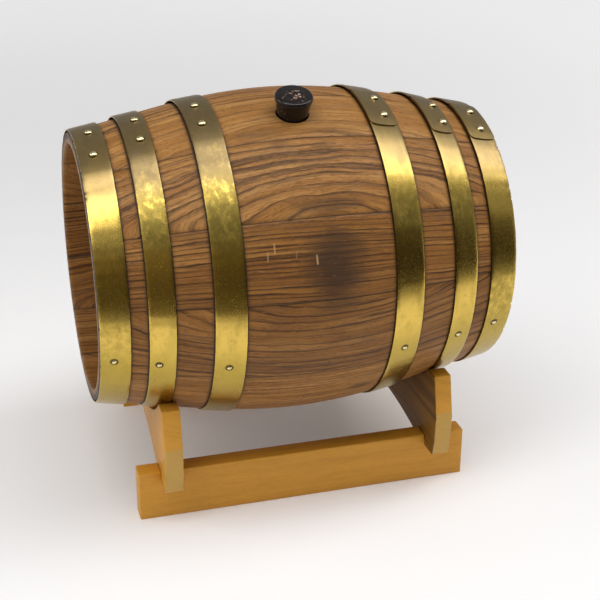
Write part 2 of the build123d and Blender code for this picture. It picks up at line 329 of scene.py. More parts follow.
def oak_material(stave, half_width, paint):
    """Stained oak of one stave: growth lines, pores, stain patches, scratches and dark joints."""
    heart, stretch, spacing, wobble, warmth, smoke, strength, seed = FIGURES[stave]
    material, shop, shader = surface_material(f"stained_oak_{stave}")
    x, v, height = strip_place(shop)
    slow = shop.field(x * 0.011, v * 0.035, seed)
    quick = shop.field(x * 0.045, v * 0.09, seed + 5.0)
    ring = hypot((x - heart[0]) * stretch, v - heart[1])
    ring = ring + (slow - 0.5) * (wobble * 3.0) + (quick - 0.5) * (wobble * 1.3)
    # Growth lines: a ramp across each ring that ends sharply, uneven in strength and spacing.
    uneven = shop.field(ring * 0.16, x * 0.004, seed + 9.0, roughness=0.6)
    saw = (ring / spacing + uneven * 2.2).do("FRACT")
    fibre = shop.field(x * 0.10, ring * 2.1, seed + 57.0, detail=4.0, roughness=0.7)
    line = saw.step(0.42, 0.84) * saw.step(0.86, 1.0, 1.0, 0.0)
    gate = shop.field(x * 0.009, ring * 0.42, seed + 13.0, detail=3.0, roughness=0.6)
    line = line * gate.step(0.32, 0.56) * fibre.step(0.22, 0.52)
    band = shop.field(x * 0.006, ring * 0.11, seed + 17.0, detail=3.0).step(0.38, 0.62)
    grain = shop.field(x * 0.045, ring * 0.9, seed + 21.0, detail=5.0, roughness=0.72)
    streak = grain.step(0.44, 0.66)
    pores = shop.field(x * 0.22, ring * 2.6, seed + 25.0).step(0.56, 0.68)
    tone = band * 0.26 + fibre * 0.42 + slow * 0.3 + (warmth - 0.52)
    base = shop.ramp(tone, [(0.0, paint.oak_deep), (0.45, paint.oak_mid), (0.9, paint.oak_light)])
    base = shop.coats(base, (line * strength, paint.oak_line), (streak * 0.26, paint.oak_line),
                      (pores * 0.42, paint.oak_line))
    # Smoky stain patches, single smoky marks, dull brown blooms and paler ray flecks.
    stain = shop.field(x * 0.014, v * 0.045, height * 0.02 + seed + 31.0, detail=4.0,
                       roughness=0.6)
    murk = stain.step(0.50, 0.74) * (smoke * 0.8)
    for mark_x, mark_v, along, across, depth in SMOKE_MARKS.get(stave, ()):
        away = hypot((x - mark_x) / along, (v - mark_v) / across)
        away = away + (slow - 0.5) * 0.7 + (quick - 0.5) * 0.5
        murk = murk.do("MAXIMUM", away.step(0.25, 1.0, depth, 0.0))
    bloom = shop.field(x * 0.02, v * 0.07, seed + 37.0, detail=3.0)
    fleck = shop.field(x * 0.10, v * 0.75, seed + 41.0)
    base = shop.coats(base, (murk * 0.78, paint.oak_smoke),
                      (bloom.step(0.58, 0.74) * 0.30, colour(0.17, 0.095, 0.05)),
                      (fleck.step(0.66, 0.75) * 0.30, paint.oak_light))
    # Pale scratches across the grain, scattered or each in its own place.
    mark = shop.field(x * 0.55 + v * 0.06, v * 0.035, seed + 47.0, detail=1.0)
    where = shop.field(x * 0.022, v * 0.05, seed + 53.0, detail=1.0)
    scattered = 0.0 if stave in SCRATCHES else 0.55
    scratch = mark.step(0.735, 0.775) * where.step(0.52, 0.62) * scattered
    for mark_x, mark_v, reach, depth in SCRATCHES.get(stave, ()):
        across = (x - mark_x + (quick - 0.5) * 3.0 - (v - mark_v) * 0.04).do("ABSOLUTE")
        end = (v - mark_v).do("ABSOLUTE").step(reach * 0.6, reach, 1.0, 0.0)
        broken = fibre.step(0.30, 0.50, 0.45, 1.0)
        scratch = scratch.do("MAXIMUM", across.step(0.3, 0.9, depth, 0.0) * end * broken)
    # Joints: a dark line of old wax where two staves meet, with a haze beside it.
    edge = half_width - v.do("ABSOLUTE")
    # Painted shade beside the edges of the hoops, where the strips shade the staves, with a little
    # dirt.
    far = x.do("ABSOLUTE")
    near = [(far - (head_x + belly_x) / 2).do("ABSOLUTE") - (head_x - belly_x) / 2
            for head_x, belly_x in BANDS.values()]
    nearest = near[0].do("MINIMUM", near[1]).do("MINIMUM", near[2])
    painted_shade = nearest.step(0.0, 3.5, 0.40, 0.0) + nearest.step(0.2, 1.3, 0.5, 0.0)
    painted_shade = painted_shade * height.step(HOOP_SHADE_STOP, HOOP_SHADE_STOP + 3.0)
    base = shop.coats(base, (scratch, colour(0.52, 0.33, 0.15)),
                      (edge.step(0.15, 0.75, 0.72, 0.0), colour(0.012, 0.007, 0.004)),
                      (edge.step(0.6, 4.0, 0.22, 0.0), colour(0.05, 0.024, 0.011)),
                      (painted_shade, colour(0.022, 0.011, 0.005)))
    rough = 0.44 + streak * 0.10 + pores * 0.12 + stain.step(0.45, 0.75) * 0.10
    relief = 0.0 - line * 0.5 - streak * 0.35 - pores * 0.7 + fibre * 0.3
    finish_surface(shop, shader, base, rough, relief, 0.22 * MM, {
        "Specular IOR Level": 0.26, "Coat Weight": 0.04, "Coat Roughness": 0.30})
    return material


def brass_material(name, paint, seed, radius, lap_middle, mottle, studs):
    """Brushed hoop brass with tarnish, olive mottles, brown laps, dark spots and scratches."""
    material, shop, shader = surface_material(name)
    x, arc, _ = strip_place(shop)
    brush = shop.field(x * 4.2, arc * 0.035, seed, detail=4.0, roughness=0.7)
    fine = shop.field(x * 9.0, arc * 0.12, seed + 3.0, roughness=0.6)
    cloud = shop.field(x * 0.10, arc * 0.035, seed + 7.0, detail=4.0, roughness=0.62)
    blotch = shop.field(x * 0.22, arc * 0.16, seed + 11.0, detail=5.0, roughness=0.68)
    angle = arc / (radius / MM)
    lapped = (angle - lap_middle).do("COSINE").step(0.80, 0.93)
    turn, spread, depth = mottle
    zone = (angle - turn).do("COSINE").step(math.cos(spread * 1.5), math.cos(spread * 0.5))
    tarnish = cloud.step(0.42, 0.75) * 0.45 + blotch.step(0.50, 0.70) * 0.35
    tarnish = tarnish + zone * (blotch.step(0.30, 0.56) * depth)
    # The underside, out of reach of polishing, is duller.
    under = (angle + 1.2).do("COSINE").step(0.48, 0.71, 0.0, 0.80)
    patina = lapped * (0.55 + cloud * 0.5)
    spot = shop.field(x * 0.9, arc * 0.7, seed + 17.0, detail=3.0).step(0.66, 0.74)
    mark = shop.field(x * 0.45, arc * 1.5 + x * 0.5, seed + 23.0, detail=1.0)
    sparse = shop.field(x * 0.05, arc * 0.05, seed + 29.0, detail=1.0)
    scratch = mark.step(0.72, 0.77) * sparse.step(0.54, 0.62)
    base = shop.coats(
        paint.brass_bright, (tarnish.do("MINIMUM", 1.0), paint.brass_tarnish),
        (zone * (blotch.step(0.30, 0.60) * depth * 0.60), paint.brass_spot),
        (under, paint.brass_tarnish), (patina.do("MINIMUM", 1.0), paint.brass_patina),
        (spot * 0.55, paint.brass_spot), (brush.step(0.45, 0.85) * 0.22, paint.brass_spot),
        (scratch * 0.6, colour(0.10, 0.07, 0.02)))
    # A painted shadow ring round each rivet and nail.
    for stud_x, stud_angle, reach in studs:
        swing = (angle - stud_angle) * 0.5
        away = hypot(x - stud_x, swing.do("SINE") * (2 * radius / MM))
        ring = away.step(reach * 0.92, reach * 1.35, 0.85, 0.0)
        base = shop.mix(ring, base, colour(0.035, 0.024, 0.010))
    rough = 0.19 + tarnish * 0.08 + brush * 0.10 + spot * 0.12 + lapped * 0.08
    relief = brush * 0.5 + fine * 0.25 + blotch * 0.5 - scratch * 0.8 - spot * 0.5
    finish_surface(shop, shader, base, rough, relief, 0.06 * MM, {"Metallic": 1.0})
    return material


def fitting_material(name, paint):
    """Bright brass of rivet and nail heads, with a painted shadow ring round the foot."""
    material, shop, shader = surface_material(name)
    place = own_place(shop)
    dents = shop.noise(place, scale=420.0, detail=3.0, roughness=0.6)
    dull = shop.noise(place, scale=900.0)
    rim = strip_parts(shop)[2]
    # The dark colour near the foot is a painted shadow ring.
    base = shop.coats(paint.stud_brass, (dents.step(0.45, 0.70) * 0.5, paint.brass_tarnish),
                      (rim.step(0.30, 0.02) * 0.9, colour(0.05, 0.035, 0.015)))
    finish_surface(shop, shader, base, 0.16 + dull * 0.20, dents, 0.12 * MM, {"Metallic": 1.0})
    return material


def lacquer_material(paint):
    """Black gloss lacquer with small chips and dust."""
    material, shop, shader = surface_material("black_lacquer")
    place = own_place(shop)
    chip_field = shop.noise(place, scale=330.0, detail=4.0, roughness=0.62)
    where = shop.noise(place, scale=60.0)
    # The chips crowd round the middle of the top, where the mallet strikes.
    x, y, z = shop.split(place)
    rise = z - AXIS_HEIGHT
    up = rise * math.cos(BUNG_LEAN) - y * math.sin(BUNG_LEAN)
    across = y * math.cos(BUNG_LEAN) + rise * math.sin(BUNG_LEAN)
    from_axis = hypot(x, across + 2.5 * MM)
    level = up.step(149.0 * MM, 151.0 * MM) * from_axis.step(4.0 * MM, 11.0 * MM, 1.0, 0.0)
    chips = (chip_field + level * 0.06).do("MINIMUM", 1.0).step(0.60, 0.65)
    chips = chips * (where.step(0.52, 0.60) * 0.35).do("MAXIMUM", level * 0.95)
    veil = shop.noise(place, scale=90.0, detail=5.0, roughness=0.7).step(0.52, 0.78)
    base = shop.coats(paint.lacquer, (veil * 0.10, colour(0.14, 0.08, 0.06)),
                      (chips, colour(0.46, 0.27, 0.20)))
    rough = 0.12 + veil * 0.14 + chips * 0.4
    finish_surface(shop, shader, base, rough, veil * 0.12 - chips, 0.18 * MM,
                   {"Specular IOR Level": 0.34})
    return material


def beech_material(name, paint, along, seed, flecks=0.5, shaded_face_x=None):
    """Honey-coloured beech: straight grain along one axis, short dark flecks, soft sheen."""
    material, shop, shader = surface_material(name)
    place = shop.split(own_place(shop))
    run = place[along] * IN_MM
    side = place[1 - along] * IN_MM
    rise = place[2] * IN_MM
    wave = shop.field(run * 0.008, side * 0.03, rise * 0.03 + seed)
    tree = rise + side * 0.55 + (wave - 0.5) * 16.0
    rings = shop.field(run * 0.004, tree * 0.16, seed, detail=4.0, roughness=0.6)
    fibre = shop.field(run * 0.05, side * 1.1, rise * 1.6 + seed, detail=3.0, roughness=0.6)
    rays = shop.field(run * 0.16, side * 1.4, rise * 1.9 + seed + 5.0, detail=1.0)
    flecking = rays.step(0.62, 0.72)
    base = shop.ramp(rings * 0.5 + fibre * 0.45, [
        (0.25, paint.beech_deep), (0.50, paint.beech_mid), (0.85, paint.beech_light)])
    worn = shop.field(run * 0.02, side * 0.05, rise * 0.05 + seed + 9.0, detail=3.0)
    base = shop.coats(base, (fibre.step(0.5, 0.8) * 0.22, paint.beech_deep),
                      (flecking * flecks * 0.5, paint.beech_fleck),
                      (worn.step(0.5, 0.8) * 0.25, paint.beech_deep))
    if shaded_face_x is not None:
        # The narrow front ends are sawn across the grain, and are duller.
        bend_out, bend_height, low_slope, high_slope = CRADLE_FRONT
        above = rise - bend_height
        front = (above * low_slope).do("MINIMUM", above * high_slope) + bend_out
        skin = (place[1] * IN_MM + front).step(0.4, 1.3, 0.80, 0.0)
        pores = shop.field(place[0] * (1.4 * IN_MM), rise * 0.9, seed + 13.0, detail=3.0)
        end_grain = shop.mix(pores.step(0.35, 0.75) * 0.5, paint.beech_end, paint.beech_fleck)
        # Painted shade on the right cradle's inner face, which lies in the barrel's shadow.
        face = (place[0] * IN_MM - shaded_face_x).step(0.3, 1.0, 0.90, 0.0)
        lines = rings.step(0.3, 0.7, 0.70, 1.0)
        on_right = place[0].step(0.0, 0.01)
        base = shop.coats(base, (skin, end_grain), (face * lines * on_right, paint.beech_painted_shade))
    relief = fibre * 0.5 - flecking * 0.5 + rings * 0.3
    finish_surface(shop, shader, base, 0.38 + fibre * 0.16, relief, 0.16 * MM, {
        "Specular IOR Level": 0.30, "Coat Weight": 0.05, "Coat Roughness": 0.35})
    return material


def head_material(paint):
    """Darker stained oak of the head boards, with grain along the boards."""
    material, shop, shader = surface_material("head_oak")
    place = own_place(shop)
    level = shop.add("ShaderNodeVectorMath", [place, (0.0, 0.0, AXIS_HEIGHT)],
                     operation="SUBTRACT").outputs[0]
    turned = shop.add("ShaderNodeMapping", {
        "Vector": level, "Rotation": (-BUNG_LEAN, 0.0, 0.0)})
    x, run, rise = [part * IN_MM for part in shop.split(turned.outputs[0])]
    wave = shop.field(run * 0.012, rise * 0.02, x * 0.01)
    board = (rise / HEAD_BOARD).do("FLOOR")
    ring = rise + (wave - 0.5) * 14.0 + board * 37.0
    lines = shop.field(run * 0.006 + board * 3.0, ring * 0.30, x * 0.02, detail=4.0,
                       roughness=0.65)
    grain = shop.field(run * 0.05, ring * 1.5, x * 0.1, detail=3.0, roughness=0.6)
    base = shop.ramp(lines, [(0.32, paint.oak_line), (0.5, paint.oak_deep), (0.72, paint.oak_mid)])
    stain = shop.field(run * 0.012, rise * 0.012, 4.0, detail=4.0)
    base = shop.coats(base, (grain.step(0.45, 0.7) * 0.5, paint.oak_line),
                      (stain.step(0.5, 0.75) * 0.5, colour(0.05, 0.028, 0.016)))
    for joint in (-HEAD_BOARD, 0.0, HEAD_BOARD):
        gap = (rise - joint).do("ABSOLUTE")
        base = shop.mix(gap.step(0.3, 1.0, 0.9, 0.0), base, colour(0.010, 0.006, 0.004))
    finish_surface(shop, shader, base, 0.42 + grain * 0.2, lines + grain * 0.5, 0.3 * MM, {})
    return material


def floor_material(paint):
    """Pale matt table top with a very faint mottle and a painted glow."""
    material, shop, shader = surface_material("pale_floor")
    place = own_place(shop)
    mottle = shop.noise(place, scale=2.4, detail=3.0)
    base = shop.mix(mottle, paint.floor, colour(*[c * 0.97 for c in paint.floor[:3]]))
    shop.put(base, shader.inputs["Base Color"])
    # Painted light: the table glows faintly, and more so away from the keg, which keeps the shade
    # round the keg dark.
    x, y, _ = shop.split(place)
    glow = hypot(x, y).step(0.45, 2.4, 0.10, 0.46)
    light = shop.mix(glow, colour(0, 0, 0), colour(1.0, 0.99, 0.985))
    shop.put(light, shader.inputs["Emission Color"])
    set_constants(shader, {"Roughness": 0.75, "Specular IOR Level": 0.2, "Emission Strength": 1.0})
    return material


# ---- pieces made from node trees ----


def rule_tree(name, inputs):
    """A geometry tree with named inputs. Returns its shop and the inputs as wires by name."""
    tree = bpy.data.node_groups.new(name, "GeometryNodeTree")
    for label, default in inputs.items():
        kind = "NodeSocketMaterial" if default is None else (
            "NodeSocketInt" if isinstance(default, int) else "NodeSocketFloat")
        item = tree.interface.new_socket(label, in_out="INPUT", socket_type=kind)
        if default is not None:
            item.default_value = default
    tree.interface.new_socket("Mesh", in_out="OUTPUT", socket_type="NodeSocketGeometry")
    shop = Shop(tree)
    source = tree.nodes.new("NodeGroupInput")
    wires = {label: Wire(shop, source.outputs[label]) for label in inputs}
    return shop, wires


def end_tree(shop, geometry, material):
    """Close a tree with Realize Instances, smooth faces and Set Material."""
    real = shop.add("GeometryNodeRealizeInstances", [geometry]).outputs[0]
    smooth = shop.add("GeometryNodeSetShadeSmooth", {"Geometry": real}).outputs[0]
    painted = shop.add("GeometryNodeSetMaterial", {"Geometry": smooth, "Material": material})
    out = shop.tree.nodes.new("NodeGroupOutput")
    shop.put(painted.outputs[0], out.inputs[0])


def from_tree(name, tree, values, sharp=35.0):
    """A finished plain-mesh object made by running a tree with the given input values."""
    holder = bpy.data.objects.new(name, bpy.data.meshes.new(f"{name}_seed"))
    modifier = holder.modifiers.new("Rule", "NODES")
    modifier.node_group = tree
    for item in tree.interface.items_tree:
        if item.in_out == "INPUT" and item.name in values:
            modifier[item.identifier] = values[item.name]
    bpy.context.scene.collection.objects.link(holder)
    settle(holder)
    if not len(holder.data.polygons):
        raise RuntimeError(f"{name}: the tree made no faces")
    holder.data.set_sharp_from_angle(angle=math.radians(sharp))
    return holder


def settle(piece):
    """Turn a piece and its modifiers into a plain mesh of its own."""
    graph = bpy.context.evaluated_depsgraph_get()
    mesh = bpy.data.meshes.new_from_object(piece.evaluated_get(graph))
    piece.modifiers.clear()
    piece.data = mesh
    mesh.name = piece.name
    return piece


def cast(angle, radius, height):
    """Y and Z of a point at an angle round the barrel's axis, which is at that height."""
    y = 0.0 - radius * angle.do("COSINE")
    z = radius * angle.do("SINE") + height
    return y, z


def block_grid(shop, count_u, count_v):
    """A finely divided unit block, and its three places from -0.5 to 0.5."""
    block = shop.add("GeometryNodeMeshCube", {
        "Size": (1.0, 1.0, 1.0), "Vertices X": count_u, "Vertices Y": count_v, "Vertices Z": 2})
    place = shop.add("GeometryNodeInputPosition").outputs[0]
    return block.outputs["Mesh"], shop.split(place)


def keep_place(shop, geometry, position, place):
    """Store where each point lies on its strip, then move it."""
    stored = shop.add("GeometryNodeStoreNamedAttribute", data_type="FLOAT_VECTOR",
                      domain="POINT")
    shop.put(geometry, stored.inputs["Geometry"])
    stored.inputs["Name"].default_value = "place"
    shop.put(place, stored.inputs["Value"])
    moved = shop.add("GeometryNodeSetPosition", {"Geometry": stored.outputs[0],
                                                 "Position": position})
    return moved.outputs[0]


def stave_radius(x, wires):
    """Outer radius of the staves at x: belly - a x^2 + b x^4."""
    square = x * x
    return wires["Belly radius"] - wires["Curve a"] * square + wires["Curve b"] * (square * square)


def stave_tree():
    """Tree for one stave: a bent, hollowed board between two angles."""
    shop, wires = rule_tree("stave_rule", {
        "Start": 0.0, "Width": 0.45, "Length": 0.34, "Belly radius": 0.1365, "Curve a": 1.0,
        "Curve b": 1.0, "Thickness": 0.015, "Axis height": 0.198, "Joint round": 0.0005,
        "Chamfer": 0.0008, "Wood": None})
    mesh, (u, v, w) = block_grid(shop, 121, 19)
    even = v * 0.3 + (v * math.pi).do("SINE") * 0.35
    x = (u * 0.5 + (u * math.pi).do("SINE") * 0.25) * wires["Length"]
    far = x.do("ABSOLUTE")
    outer = stave_radius(x, wires)
    groove_from, groove_to, groove_depth = GROOVE
    in_groove = far.do("GREATER_THAN", groove_from) * far.do("LESS_THAN", groove_to)
    bored = far.do("GREATER_THAN", groove_from - 2 * MM)
    chime = in_groove * groove_depth + CHIME_BORE
    hollow = outer - wires["Thickness"]
    inner = hollow + (chime - hollow) * bored
    at_end = far.do("GREATER_THAN", wires["Length"] * 0.5 - 0.0002)
    chamfer = at_end * wires["Chamfer"]
    top = w + 0.5
    edge = (0.5 - even.do("ABSOLUTE")) * wires["Width"] * outer
    round_over = (1.0 - edge / (wires["Joint round"] * 2.2)).do("MAXIMUM", 0.0) ** 2.0
    outside = outer - chamfer - round_over * wires["Joint round"]
    inside = inner + chamfer
    radius = inside + (outside - inside) * top
    middle = wires["Start"] + wires["Width"] * 0.5
    angle = middle + even * wires["Width"]
    y, z = cast(angle, radius, wires["Axis height"])
    place = shop.join(x, even * wires["Width"] * wires["Belly radius"], radius)
    end_tree(shop, keep_place(shop, mesh, shop.join(x, y, z), place), wires["Wood"])
    return shop.tree


def hoop_tree():
    """Tree for one hoop: a strip round the staves whose end laps over its own beginning."""
    shop, wires = rule_tree("hoop_rule", {
        "End angle": 1.1, "Turn": 1.0, "Lap": 0.5, "Middle x": 0.1, "Strip width": 0.02,
        "Radius": 0.12, "Cone": 0.0, "Thickness": 0.0012, "Joggle": 0.026, "End gap": 0.007,
        "Belly lift": 0.0, "Head lift": 0.0, "Nicks": 0.0, "Side": 1.0,
        "Axis height": 0.198, "Seed": 0.0, "Brass": None})
    mesh, (u, v, w) = block_grid(shop, 15, 481)
    across = (u * math.pi).do("SINE") * 0.4 + u * 0.2
    around = wires["Lap"] + (2 * math.pi) - wires["End gap"]
    run = (v * wires["Turn"] + 0.5) * around
    # The outer end is a shallow curve with rounded corners.
    corner = (across * 2.0).do("ABSOLUTE")
    cut_back = corner ** 2.0 * 0.012 + corner ** 12.0 * 0.022
    run = run + cut_back * run.step(0.0, 0.14, 1.0, 0.0)
    angle = wires["End angle"] + run * wires["Turn"]
    above = run.step(wires["Lap"], wires["Lap"] + wires["Joggle"], 1.0, 0.0)
    lap_middle = wires["End angle"] + wires["Lap"] * wires["Turn"] * 0.5
    offset = ((angle - lap_middle) * 0.5).do("SINE").do("ABSOLUTE")
    near_lap = offset.step(*LIFT_REACH, 1.0, 0.0)
    ring = shop.join(angle.do("COSINE"), angle.do("SINE"), wires["Seed"])
    sway = shop.noise(ring, scale=2.2)
    ripple = shop.noise(ring, scale=14.0, detail=3.0)
    nick_field = shop.noise(ring, scale=60.0)
    nick = nick_field.step(0.60, 0.72) * wires["Nicks"]
    side = wires["Side"]
    head_edge = (across * side * 2.0).do("MAXIMUM", 0.0) ** 6.0
    x = wires["Middle x"] + across * wires["Strip width"]
    x = x + (ripple - 0.5) * 0.0005 * corner * across.do("SIGN") - nick * head_edge * side * 0.9
    inward = wires["Cone"] * across * side
    lift = wires["Belly lift"] * (0.5 - across * side) + wires["Head lift"] * (0.5 + across * side)
    round_edge = corner ** 14.0 * 0.00035
    top = w + 0.5
    radius = (wires["Radius"] + inward + top * wires["Thickness"] + above * wires["Thickness"]
              + lift * near_lap + (sway - 0.5) * 0.0004 + 0.0002
              + (ripple - 0.5) * 0.00025
              - round_edge * top + round_edge * (1.0 - top) * 0.4)
    y, z = cast(angle, radius, wires["Axis height"])
    place = shop.join(across * wires["Strip width"], angle * wires["Radius"], top)
    end_tree(shop, keep_place(shop, mesh, shop.join(x, y, z), place), wires["Brass"])
    return shop.tree


def stud_tree():
    """Tree for two domed heads, each at its own place on the barrel and square to it."""
    shop, wires = rule_tree("stud_rule", {
        "First x": 0.1, "First angle": 1.2, "First radius": 0.12, "Second x": 0.1,
        "Second angle": 1.4, "Second radius": 0.12, "Head": 0.0064, "Dome": 0.002,
        "Sink": 0.0009, "Axis height": 0.198, "Brass": None})
    points = shop.add("GeometryNodeMeshLine", {"Count": 2}).outputs[0]
    index = Wire(shop, shop.add("GeometryNodeInputIndex").outputs[0])
    pick = {
        key: wires[f"First {key}"] + (wires[f"Second {key}"] - wires[f"First {key}"]) * index
        for key in ("x", "angle", "radius")}
    y, z = cast(pick["angle"], pick["radius"], wires["Axis height"])
    points = shop.add("GeometryNodeSetPosition", {
        "Geometry": points, "Position": shop.join(pick["x"], y, z)}).outputs[0]
    ball = shop.add("GeometryNodeMeshUVSphere", {"Segments": 28, "Rings": 14, "Radius": 1.0})
    place = shop.add("GeometryNodeInputPosition").outputs[0]
    bx, by, bz = shop.split(place)
    rise = bz.do("MAXIMUM", 0.0)
    foot = bz.do("LESS_THAN", -0.001)
    height = rise * wires["Dome"] - foot * wires["Sink"]
    # Slightly hammered out of round.
    dent = shop.noise(place, scale=1.6, detail=1.0)
    reach = wires["Head"] * 0.5 * (0.97 + dent * 0.06)
    shaped = keep_place(shop, ball.outputs["Mesh"], shop.join(bx * reach, by * reach, height),
                        shop.join(bx, by, rise))
    tilt = (math.pi / 2) - pick["angle"]
    studs = shop.add("GeometryNodeInstanceOnPoints", {"Points": points, "Instance": shaped})
    turn = shop.add("FunctionNodeEulerToRotation", [shop.join(tilt, 0.0, 0.0)]).outputs[0]
    shop.put(turn, studs.inputs["Rotation"])
    end_tree(shop, studs.outputs[0], wires["Brass"])
    return shop.tree


# ---- pieces made in mesh code ----


def from_frame(name, node, bevel, material):
    """A copy of a frame node with its triangles merged and its sharp edges eased."""
    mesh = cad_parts[node].data.copy()
    piece = bpy.data.objects.new(name, mesh)
    work = bmesh.new()
    work.from_mesh(mesh)
    bmesh.ops.remove_doubles(work, verts=work.verts, dist=0.00001)
    bmesh.ops.dissolve_limit(work, angle_limit=math.radians(0.6), verts=work.verts,
                             edges=work.edges)
    for face in work.faces:
        face.smooth = True
    work.to_mesh(mesh)
    work.free()
    mesh.materials.clear()
    mesh.materials.append(material)
    bpy.context.scene.collection.objects.link(piece)
    ease = piece.modifiers.new("Eased edges", "BEVEL")
    ease.width = bevel
    ease.segments = 3
    ease.limit_method = "ANGLE"
    ease.angle_limit = math.radians(32.0)
    ease.use_clamp_overlap = True
    settle(piece)
    piece.data.set_sharp_from_angle(angle=math.radians(40.0))
    return piece


def turned_piece(name, profile, place, material, segments=96):
    """A closed turned shape from (radius, height) points, both ends on its own axis."""
    work = bmesh.new()
    rings = []
    for radius, height in profile:
        if radius < 1e-7:
            rings.append([work.verts.new((0.0, 0.0, height))])
            continue
        ring = []
        for k in range(segments):
            angle = 2 * math.pi * k / segments
            spot = (radius * math.cos(angle), radius * math.sin(angle), height)
            ring.append(work.verts.new(spot))
        rings.append(ring)
    for low, high in zip(rings, rings[1:]):
        for k in range(segments):
            n = (k + 1) % segments
            corners = [low[k % len(low)], low[n % len(low)],
                       high[n % len(high)], high[k % len(high)]]
            unique = list(dict.fromkeys(corners))
            if len(unique) > 2:
                work.faces.new(unique)
    for face in work.faces:
        face.smooth = True
    bmesh.ops.transform(work, matrix=place, verts=work.verts)
    bmesh.ops.recalc_face_normals(work, faces=work.faces)
    mesh = bpy.data.meshes.new(name)
    work.to_mesh(mesh)
    work.free()
    mesh.materials.append(material)
    piece = bpy.data.objects.new(name, mesh)
    bpy.context.scene.collection.objects.link(piece)
    return piece


def bung_place():
    """Frame of the bung: its own axis along Z, starting at the barrel's axis."""
    return (Matrix.Translation((0.0, 0.0, AXIS_HEIGHT))
            @ Matrix.Rotation(BUNG_LEAN, 4, "X"))


# ---- what a user can change ----


def size(label, text, default):
    """A length that a user can change, in metres."""
    return bpy.props.FloatProperty(name=label, description=text, default=default, unit="LENGTH")


class KegSizes(bpy.types.PropertyGroup):
    """Sizes of the keg's pieces."""

    length: size("Length", "Length of the staves", round(STAVES_HIGH.x - STAVES_LOW.x, 5))
    belly_radius: size("Belly radius", "Outer radius of the staves at the middle", 0.13646)
    quarter_radius: size("Quarter radius", "Outer radius at the belly hoops", 0.1302)
    end_radius: size("End radius", "Outer radius of the staves at their ends", 0.1109)
    stave_thickness: size("Stave thickness", "Thickness of a stave", 0.015)
    joint_round: size("Joint rounding", "Rounding of a stave's long edges", 0.0005)
    hoop_thickness: size("Hoop thickness", "Thickness of the hoop strip", 0.0012)
    rivet_head: size("Rivet head", "Width of a rivet's head", 0.0064)
    rivet_dome: size("Rivet dome", "Height of a rivet's head", 0.002)
    nail_head: size("Nail head", "Width of a hoop nail's head", 0.0038)
    nail_dome: size("Nail dome", "Height of a hoop nail's head", 0.0009)
    head_ease: size("Head board easing", "Rounding of the head boards' edges", 0.0005)
    stand_ease: size("Stand edge easing", "Rounding of the stand's edges", 0.0011)


def tint(label, text, red, green, blue):
    """A colour that a user can change."""
    return bpy.props.FloatVectorProperty(
        name=label, description=text, subtype="COLOR", size=4, min=0.0, max=1.0,
        default=(red, green, blue, 1.0))


class KegColours(bpy.types.PropertyGroup):
    """Colours of the keg's finishes."""

    oak_light: tint("Oak, light", "Palest golden wood of the staves", 0.54, 0.275, 0.080)
    oak_mid: tint("Oak, middle", "Usual orange-brown of the staves", 0.325, 0.135, 0.024)
    oak_deep: tint("Oak, deep", "Red-brown of the darker wood", 0.165, 0.058, 0.009)
    oak_line: tint("Oak, lines", "Growth lines and pores", 0.036, 0.012, 0.003)
    oak_smoke: tint("Oak, smoke", "Smoky patches in the stain", 0.060, 0.028, 0.011)
    brass_bright: tint("Brass, bright", "Clean hoop brass", 0.78, 0.535, 0.115)
    brass_tarnish: tint("Brass, tarnished", "Olive-brown tarnish", 0.42, 0.305, 0.055)
    stud_brass: tint("Rivets", "Paler brass of rivets and nails", 0.88, 0.74, 0.42)
    brass_patina: tint("Brass, patina", "Brown patina of the laps", 0.30, 0.215, 0.11)
    brass_spot: tint("Brass, spots", "Dark spots in the tarnish", 0.20, 0.145, 0.045)
    lacquer: tint("Bung lacquer", "Black lacquer", 0.010, 0.007, 0.006)
    beech_light: tint("Beech, light", "Palest wood of the stand", 0.77, 0.40, 0.060)
    beech_mid: tint("Beech, middle", "Honey colour of the stand", 0.66, 0.315, 0.034)
    beech_deep: tint("Beech, deep", "Darker grain of the stand", 0.50, 0.22, 0.022)
    beech_fleck: tint("Beech, flecks", "Short dark flecks", 0.24, 0.10, 0.025)
    beech_end: tint("Beech, end grain", "Duller wood of the cradles' ends", 0.60, 0.385, 0.095)
    # Painted shade of the right cradle's inner face, which lies in the barrel's shadow.
    beech_painted_shade: tint("Beech, grime", "Wood darkened by handling", 0.045, 0.019, 0.006)
    floor: tint("Floor", "Pale table top", 0.90, 0.89, 0.885)


def finish_piece(piece, body, slot, *nodes):
    """Hand a finished piece to the frame."""
    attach(piece, body)
    if nodes:
        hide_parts(*nodes)


def barrel_curve(sizes):
    """Coefficients of the staves' outer curve."""
    end_x = sizes.length / 2
    quarter_drop = sizes.belly_radius - sizes.quarter_radius
    end_drop = sizes.belly_radius - sizes.end_radius
    ratio = (end_x / QUARTER_X) ** 2
    b = (quarter_drop * ratio - end_drop) / (end_x**4 - QUARTER_X**4 * ratio)
    a = (quarter_drop + b * QUARTER_X**4) / QUARTER_X**2
    return a, b


def radius_at(sizes, x):
    """Outer radius of the staves at x."""
    a, b = barrel_curve(sizes)
    return sizes.belly_radius - a * x**2 + b * x**4


def band_edges(name):
    """How far along the barrel a hoop's head edge and belly edge are."""
    return [edge * MM for edge in BANDS[name.split("_")[1]]]


def band_radii(sizes, name):
    """Inner radius of a hoop at its head edge and at its belly edge."""
    return [radius_at(sizes, x) + HOOP_GAP for x in band_edges(name)]


def stave_spans():
    """Name, lower edge and width of every stave, in degrees."""
    top = BUNG_STAVE_TOP
    spans = []
    for name, width in zip(STAVE_NAMES, STAVE_WIDTHS):
        spans.append((name, top, width))
        top += width
    return spans


